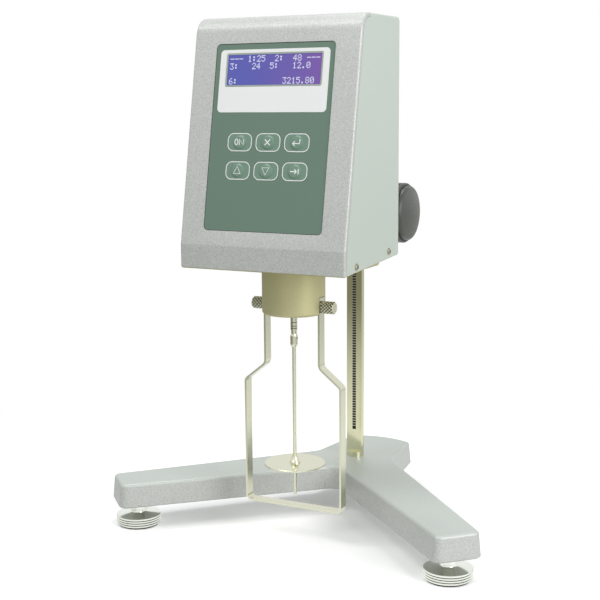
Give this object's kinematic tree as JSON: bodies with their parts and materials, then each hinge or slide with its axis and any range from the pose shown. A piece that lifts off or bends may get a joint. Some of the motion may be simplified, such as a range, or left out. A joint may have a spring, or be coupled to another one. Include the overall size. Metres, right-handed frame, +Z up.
{
  "type": "rotational viscometer",
  "caption": "Bench viscometer: sloping head with keypad and display, disc spindle in a strap guard, rack column and V-shaped base on levelling feet.",
  "frame": {"origin": "on the bench plane, under the middle of the whole instrument", "axes": "+Z up along the column, -Y towards the user, +X to the user's right"},
  "size_m": [0.3138, 0.2312, 0.402],
  "materials": {
    "casting_paint": "silver-grey sparkle paint over a smooth casting",
    "polished_steel": "ground and polished",
    "rack_steel": "machine-cut teeth",
    "black_plastic": "fine-grained moulding",
    "black_steel": "blackened",
    "nickel": "bright nickel, knurled rim",
    "foot_rubber": "moulded",
    "champagne_satin": "satin champagne anodised",
    "champagne_knurl": "anodised, diamond knurl",
    "bush_bronze": "sintered",
    "sparkle_paint": "silver paint with fine metal flake",
    "cover_paint": "smooth pale grey-green enamel",
    "screw_nickel": "nickel-plated, cross recess",
    "film_green": "satin printed film",
    "label_white": "gloss film",
    "bezel_grey": "smooth moulding",
    "lcd_blue": "lit blue dot-matrix display behind a clear window",
    "board_green": "solder mask",
    "guard_steel": "brushed stainless strap",
    "frame_aluminium": "machined",
    "motor_steel": "zinc-plated can",
    "ring_aluminium": "turned",
    "vial_glass": "tinted spirit under glass",
    "rocker_red": "moulded",
    "shaft_steel": "ground stainless",
    "spring_steel": "blued flat spring",
    "spindle_steel": "fine-turned stainless",
    "brass_gear": "machine-cut",
    "knob_grey": "fluted moulding",
    "cap_grey": "satin moulded cap",
    "key_green": "satin printed film over a dome"
  },
  "bodies": {
    "stand": {"base_casting": "casting_paint", "column": "polished_steel", "rack": "rack_steel", "column_cap": "black_plastic", "column_screw": "black_steel"},
    "left_foot": {"left_foot": "nickel", "left_foot_pad": "foot_rubber"},
    "right_foot": {"right_foot": "nickel", "right_foot_pad": "foot_rubber"},
    "rear_foot": {"rear_foot": "nickel", "rear_foot_pad": "foot_rubber"},
    "head": {"carriage": "champagne_satin", "guide_bushes": "bush_bronze", "tension_screw": "black_steel", "carriage_bolts": "black_steel", "front_shell": "sparkle_paint", "rear_cover": "cover_paint", "bottom_plate": "champagne_satin", "cover_screws": "screw_nickel", "keypad_film": "film_green", "display_label": "label_white", "display_bezel": "bezel_grey", "display_module": "lcd_blue", "circuit_board": "board_green", "collar": "champagne_satin", "guard": "guard_steel", "chassis": "frame_aluminium", "gear_motor": "motor_steel", "level_ring": "ring_aluminium", "level_vial": "vial_glass", "power_inlet": "black_plastic", "switch_frame": "black_plastic"},
    "measuring_shaft": {"pivot_shaft": "shaft_steel", "torsion_spring": "spring_steel", "encoder_disc": "bush_bronze", "coupling_nut": "shaft_steel", "spindle": "spindle_steel"},
    "lifting_knob": {"pinion_shaft": "shaft_steel", "pinion": "brass_gear", "knob_body": "knob_grey", "knob_cap": "cap_grey"},
    "left_thumb_screw": {"left_thumb_screw": "champagne_knurl"},
    "right_thumb_screw": {"right_thumb_screw": "champagne_knurl"},
    "switch_rocker": {"switch_rocker": "rocker_red"},
    "key_on": {"key_on": "key_green"},
    "key_back": {"key_back": "key_green"},
    "key_enter": {"key_enter": "key_green"},
    "key_up": {"key_up": "key_green"},
    "key_down": {"key_down": "key_green"},
    "key_tab": {"key_tab": "key_green"}
  },
  "joints": [
    {"name": "head_lift", "type": "slide", "parent": "stand", "child": "head", "axis": [0, 0, 1], "range_m": [-0.02, 0.085]},
    {"name": "knob_turn", "type": "hinge", "parent": "head", "child": "lifting_knob", "pos_m": [0, 0.03787, 0.2499], "axis": [1, 0, 0], "range_deg": [-435.8, 103.3]},
    {"name": "shaft_spin", "type": "hinge", "parent": "head", "child": "measuring_shaft", "pos_m": [0, -0.0631, 0.2], "axis": [0, 0, 1], "continuous": true},
    {"name": "left_foot_turn", "type": "hinge", "parent": "stand", "child": "left_foot", "pos_m": [-0.13318, -0.08321, 0.01], "axis": [0, 0, 1], "range_deg": [-720, 720]},
    {"name": "right_foot_turn", "type": "hinge", "parent": "stand", "child": "right_foot", "pos_m": [0.13318, -0.08321, 0.01], "axis": [0, 0, 1], "range_deg": [-720, 720]},
    {"name": "rear_foot_turn", "type": "hinge", "parent": "stand", "child": "rear_foot", "pos_m": [0, 0.0889, 0.01], "axis": [0, 0, 1], "range_deg": [-720, 720]},
    {"name": "left_screw_turn", "type": "hinge", "parent": "head", "child": "left_thumb_screw", "pos_m": [-0.03, -0.0631, 0.1868], "axis": [-1, 0, 0], "range_deg": [0, 720]},
    {"name": "right_screw_turn", "type": "hinge", "parent": "head", "child": "right_thumb_screw", "pos_m": [0.03, -0.0631, 0.1868], "axis": [1, 0, 0], "range_deg": [0, 720]},
    {"name": "power_switch", "type": "hinge", "parent": "head", "child": "switch_rocker", "pos_m": [0.046, -0.0191, 0.246], "axis": [0, 0, 1], "range_deg": [-20, 0]},
    {"name": "key_on_press", "type": "slide", "parent": "head", "child": "key_on", "axis": [0, 0.9833, -0.1822], "range_m": [0, 0.0004], "stiffness_N_per_m": 800},
    {"name": "key_back_press", "type": "slide", "parent": "head", "child": "key_back", "axis": [0, 0.9833, -0.1822], "range_m": [0, 0.0004], "stiffness_N_per_m": 800},
    {"name": "key_enter_press", "type": "slide", "parent": "head", "child": "key_enter", "axis": [0, 0.9833, -0.1822], "range_m": [0, 0.0004], "stiffness_N_per_m": 800},
    {"name": "key_up_press", "type": "slide", "parent": "head", "child": "key_up", "axis": [0, 0.9833, -0.1822], "range_m": [0, 0.0004], "stiffness_N_per_m": 800},
    {"name": "key_down_press", "type": "slide", "parent": "head", "child": "key_down", "axis": [0, 0.9833, -0.1822], "range_m": [0, 0.0004], "stiffness_N_per_m": 800},
    {"name": "key_tab_press", "type": "slide", "parent": "head", "child": "key_tab", "axis": [0, 0.9833, -0.1822], "range_m": [0, 0.0004], "stiffness_N_per_m": 800}
  ],
  "couplings": [
    {"joint": "knob_turn", "follows": "head_lift", "rad_per_m": -89.286}
  ]
}
